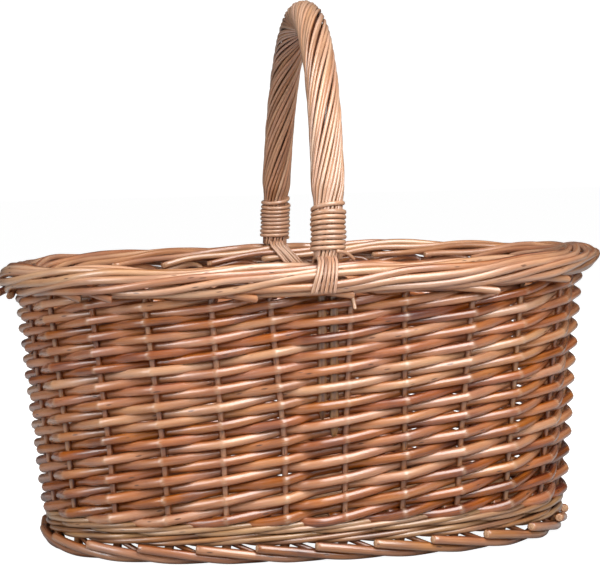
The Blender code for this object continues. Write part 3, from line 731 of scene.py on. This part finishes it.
def make_base():
    """Cross sticks, long sticks, and the rods woven over and under the cross sticks."""
    up = np.array([0.0, 0.0, 1.0])
    for i in range(CROSS_STICKS):
        x = (i - (CROSS_STICKS - 1) / 2) * CROSS_STICK_PITCH
        reach = float(base_half_width(x))
        y = np.linspace(-reach, reach, CROSS_STICK_SAMPLES)
        path = np.stack([np.full(len(y), x), y, np.full(len(y), BASE_Z)], axis=1)
        rods = Rods()
        rods.add(path, up, BASE_STICK_RADIUS, chance.uniform(*BASE_STICK_TONES))
        rods.build(f"base_cross_stick_{i + 1}", materials["base"], ["base_mat"])
    for i in range(LONG_STICKS):
        y = (i - (LONG_STICKS - 1) / 2) * LONG_STICK_PITCH
        x = np.linspace(-LONG_STICK_END, LONG_STICK_END, LONG_STICK_SAMPLES)
        height = base_over_under(x, i, BASE_STICK_RADIUS + BASE_ROD_RADIUS)
        rods = Rods()
        path = np.stack([x, np.full(len(x), y), BASE_Z + height], axis=1)
        rods.add(path, up, BASE_STICK_RADIUS * LONG_STICK_THINNER, chance.uniform(*BASE_STICK_TONES))
        rods.build(f"base_long_stick_{i + 1}", materials["base"], ["base_mat"])
    rods = Rods()
    side = 0
    for row in range(BASE_ROWS):
        y = (row - (BASE_ROWS - 1) / 2) * BASE_ROW_PITCH
        if abs(y) < LONG_STICK_PITCH * LONG_STICKS / 2 and abs(y % LONG_STICK_PITCH) < 0.001:
            continue
        reach = float(base_half_length(y)) + BASE_ROW_OVERHANG
        x = np.arange(-reach, reach, BASE_ROW_SAMPLING)
        side += 1
        height = base_over_under(x, side, BASE_STICK_RADIUS + BASE_ROD_RADIUS * BASE_ROD_FLATTER)
        path = np.stack([x, np.full(len(x), y), BASE_Z + height], axis=1)
        rods.add(path, up, BASE_ROD_RADIUS, chance.uniform(*BASE_ROD_TONES), sides=BASE_ROD_SIDES)
    rods.build("base_weave", materials["base"], ["base_mat"])


def base_over_under(x, side, reach):
    """Height of a base rod that passes over one cross stick and under the next."""
    wave = np.cos(math.pi * (x / CROSS_STICK_PITCH + side))
    return reach * np.sign(wave) * np.abs(wave) ** BASE_BEND_SHARPNESS * BASE_BEND_REACH


HANDLE_HALF = wall_half_axes(SPRING_Z)[1]


def bow_places(turn):
    """Points and two cross directions along the handle's middle line."""
    rise = np.sin(turn)
    points = np.stack(
        [HANDLE_LEAN * rise, -HANDLE_HALF * np.cos(turn), SPRING_Z + HANDLE_RISE * rise], axis=1
    )
    along = unit(np.gradient(points, axis=0))
    sideways = np.array([1.0, 0.0, 0.0])
    first = unit(sideways - (along @ sideways)[:, None] * along)
    return points, first, np.cross(along, first)


def handle_turn(z):
    return math.asin((z - SPRING_Z) / HANDLE_RISE)


def make_handle():
    low = handle_turn(WRAP_END_Z)
    turn = np.linspace(low, math.pi - low, BOW_SAMPLES)
    points, first, second = bow_places(turn)
    rods = Rods()
    # the core is painted dark, as shade showing in the gaps of the wrap around it
    rods.add(points, first, CORE_RADIUS, CORE_PAINTED_SHADE_TONE, sides=CORE_SIDES)
    for side in (-1, 1):
        for x in (-LINER_X, LINER_X):
            tip = LINER_TIP_Z + (LINER_TIP_STAGGER if x * side > 0 else 0.0)
            z = np.linspace(tip, LINER_ROOT_Z, LINER_SAMPLES)
            y = side * wall_half_axes(np.minimum(z, SPRING_Z))[1]
            radius = LINER_RADIUS * np.clip(LINER_POINT + (z - tip) / LINER_POINT_LENGTH, 0, 1)
            path = np.stack([np.full(len(z), x), y, z], axis=1)
            rods.add(path, (1.0, 0.0, 0.0), radius, LINER_TONE)
    rods.build("handle_bow", materials["handle_bow"], ["handle_bow"])
    make_wrap(turn, points, first, second)
    make_binding("binding_front", False)
    make_binding("binding_rear", True)


def make_wrap(turn, points, first, second):
    """The thin rods twisted round the bow, drawn in where the bindings hold them."""
    z = points[:, 2]
    full = np.clip((z - WRAP_WAIST_Z) / (WRAP_SHOULDER_Z - WRAP_WAIST_Z), 0, 1)
    full = full * full * (3 - 2 * full)
    outer = share_between(WRAP_WAIST_OUTER, WRAP_OUTER, full)
    rods = Rods()
    for i in range(WRAP_RODS):
        jitter = chance.uniform(-WRAP_JITTER, WRAP_JITTER)
        size = chance.uniform(*WRAP_THICKNESS) * WRAP_ROD_RADIUS
        radius = size * share_between(WRAP_WAIST_THINNER, 1.0, full)
        pace, start = chance.uniform(*WRAP_WANDER_PACE), chance.uniform(*WRAP_WANDER_START)
        wander = WRAP_WANDER * np.sin(turn * pace + start)
        angle = 2 * math.pi * (i + jitter) / WRAP_RODS + 2 * math.pi * WRAP_TURNS * turn / math.pi + wander
        reach = (outer - radius + chance.uniform(*WRAP_UNEVEN))[:, None]
        outward = np.cos(angle)[:, None] * first + np.sin(angle)[:, None] * second
        rearward = np.clip((turn - REAR_PAINTED_SHADE_FROM) / REAR_PAINTED_SHADE_OVER, 0, 1)
        # painted shade: the wrap darker toward the rear leg, which is less lit
        tone = chance.uniform(*WRAP_TONES) + REAR_PAINTED_SHADE * rearward
        rods.add(points + reach * outward, outward, radius, tone, sides=FINE_ROD_SIDES)
    rods.build("handle_wrap", materials["handle_wrap"], ["handle_wrap"])


def make_binding(name, at_rear):
    """One rod wound round a foot of the handle, its last turn running up on a slant to a free end.

    At the front, its other end shows too, and curves down to the right over the border.
    """
    ends = [handle_turn(BINDING_LOW_Z), handle_turn(BINDING_HIGH_Z)]
    if at_rear:
        ends = [math.pi - end for end in ends]
    share = np.linspace(0, 1, BINDING_TURNS * BINDING_TURN_SAMPLES)
    free = BINDING_FREE_RISE * np.clip((share - BINDING_FREE_FROM) / BINDING_FREE_OVER, 0, 1) ** 1.5
    points, first, second = bow_places(share_between(*ends, share + free))
    angle = 2 * math.pi * BINDING_TURNS * share
    outward = np.cos(angle)[:, None] * first + np.sin(angle)[:, None] * second
    slack = BINDING_SLACK * np.sin(BINDING_SLACK_WAVES * angle / BINDING_TURNS)
    slack = slack - BINDING_FREE_DROP * BINDING_ROD_RADIUS * free
    reach = (BINDING_OUTER - BINDING_ROD_RADIUS + slack)[:, None]
    rods = Rods()
    rods.add(points + reach * outward, outward, BINDING_ROD_RADIUS, BINDING_TONE)
    if not at_rear:
        tail = np.array(BINDING_TAIL) - np.array([0.0, HANDLE_HALF, 0.0])
        tail = smoothed(resampled(tail, FINE_SAMPLING, run_lengths(tail)), FINE_SMOOTHING)
        radius = BINDING_TAIL_THINNER * BINDING_ROD_RADIUS
        rods.add(tail, (0.0, -1.0, 0.3), radius, BINDING_TAIL_TONE, sides=FINE_ROD_SIDES)
    rods.build(name, materials["binding"], [name])


def make_lashing(name, at_rear):
    """Fine rods that tie the handle down over the border, fanning out a little as they go down."""
    knots = np.array(LASHING_KNOTS)
    fine = smoothed(resampled(knots, FINE_SAMPLING, run_lengths(knots)), FINE_SMOOTHING)
    drop = np.clip((LASHING_SHOULDER_Z - fine[:, 1]) / LASHING_DROP, 0, LASHING_DROP_LIMIT)
    rods = Rods()
    for i in range(LASHING_RODS):
        across = (i - (LASHING_RODS - 1) / 2) / (LASHING_RODS - 1)
        width = share_between(LASHING_TOP_WIDTH, LASHING_END_WIDTH, drop) - 2 * LASHING_ROD_RADIUS
        stray = chance.uniform(-LASHING_STRAY, LASHING_STRAY) * drop
        x = LASHING_TOP_X - LASHING_SLANTS[name] * LASHING_DROP * drop + width * across + stray
        lift = LASHING_LIFT + LASHING_LIFT_STEP * (i % 2)
        side = np.clip(drop, 0, 1)
        y = -HANDLE_HALF - fine[:, 0] - lift * np.sign(fine[:, 0]) * side
        z = fine[:, 1] + lift * (1 - side)
        path = np.stack([x, y, z], axis=1)[::2]
        if at_rear:
            path[:, :2] *= -1
        radius = LASHING_ROD_RADIUS * chance.uniform(*LASHING_THICKNESS)
        rods.add(path, (1.0, 0.0, 0.0), radius, chance.uniform(*LASHING_TONES), sides=FINE_ROD_SIDES)
    rods.build(name, materials["lashing"], [name])


def make_camera():
    azimuth = math.radians(CAMERA_AZIMUTH)
    camera = bpy.data.objects.new("camera", bpy.data.cameras.new("camera"))
    camera.data.lens = CAMERA_LENS
    camera.data.sensor_width = CAMERA_SENSOR
    x, y = -CAMERA_DISTANCE * math.sin(azimuth), -CAMERA_DISTANCE * math.cos(azimuth)
    heading = Matrix.Rotation(-azimuth + math.radians(CAMERA_YAW), 4, "Z")
    tilt = Matrix.Rotation(math.radians(90 - CAMERA_PITCH), 4, "X")
    roll = Matrix.Rotation(math.radians(-CAMERA_ROLL), 4, "Z")
    camera.matrix_world = Matrix.Translation((x, y, CAMERA_HEIGHT)) @ heading @ tilt @ roll
    bpy.context.scene.collection.objects.link(camera)
    bpy.context.scene.camera = camera


def make_light(name, place, size, power):
    light = bpy.data.lights.new(name, "AREA")
    light.shape = "RECTANGLE"
    light.size, light.size_y = size
    light.energy = power
    made = bpy.data.objects.new(name, light)
    made.location = place
    made.rotation_euler = (Vector(LIGHT_TARGET) - Vector(place)).to_track_quat("-Z", "Y").to_euler()
    bpy.context.scene.collection.objects.link(made)
    return made


def seen_or_lit(tree, seen, lit):
    """A strength that is one value where the camera looks straight at it, and another as light."""
    path = tree.nodes.new("ShaderNodeLightPath")
    strength = tree.nodes.new("ShaderNodeMapRange")
    strength.inputs[3].default_value = lit
    strength.inputs[4].default_value = seen
    tree.links.new(path.outputs["Is Camera Ray"], strength.inputs[0])
    return strength.outputs[0]


def make_studio():
    """A plain pale floor, a white surround, and soft lights above the camera, on the left and behind.

    The floor and the surround look white to the camera, but give off little light. The light behind
    makes no reflections, which would burn out the rim.
    """
    bpy.ops.mesh.primitive_plane_add(size=FLOOR_SIZE, location=(0, 0, FLOOR_Z))
    floor = bpy.context.object
    floor.name = "floor"
    material = bpy.data.materials.new("pale_floor")
    material.use_nodes = True
    surface = material.node_tree.nodes["Principled BSDF"]
    surface.inputs["Base Color"].default_value = (FLOOR_SHADE, FLOOR_SHADE, FLOOR_SHADE, 1.0)
    surface.inputs["Roughness"].default_value = FLOOR_ROUGHNESS
    surface.inputs["Emission Color"].default_value = (1.0, 1.0, 1.0, 1.0)
    tree = material.node_tree
    tree.links.new(seen_or_lit(tree, FLOOR_GLOW, 0.0), surface.inputs["Emission Strength"])
    floor.data.materials.append(material)
    world = bpy.data.worlds.new("studio")
    bpy.context.scene.world = world
    world.use_nodes = True
    background = world.node_tree.nodes["Background"]
    background.inputs[0].default_value = (1.0, 1.0, 1.0, 1.0)
    world.node_tree.links.new(seen_or_lit(world.node_tree, WORLD_GLOW, WORLD_LIGHT), background.inputs[1])
    make_light("key", KEY_PLACE, KEY_SIZE, KEY_POWER)
    make_light("fill", FILL_PLACE, FILL_SIZE, FILL_POWER)
    back = make_light("back", BACK_PLACE, BACK_SIZE, BACK_POWER)
    back.visible_glossy = False
    bpy.context.scene.view_settings.view_transform = "Standard"


make_camera()
materials = make_materials()
for number in range(STAKES):
    make_stake(number)
for number in range(STAKES):
    make_siding_rod(number)
make_wale()
make_base()
make_handle()
make_lashing("lashing_front", False)
make_lashing("lashing_rear", True)
make_studio()
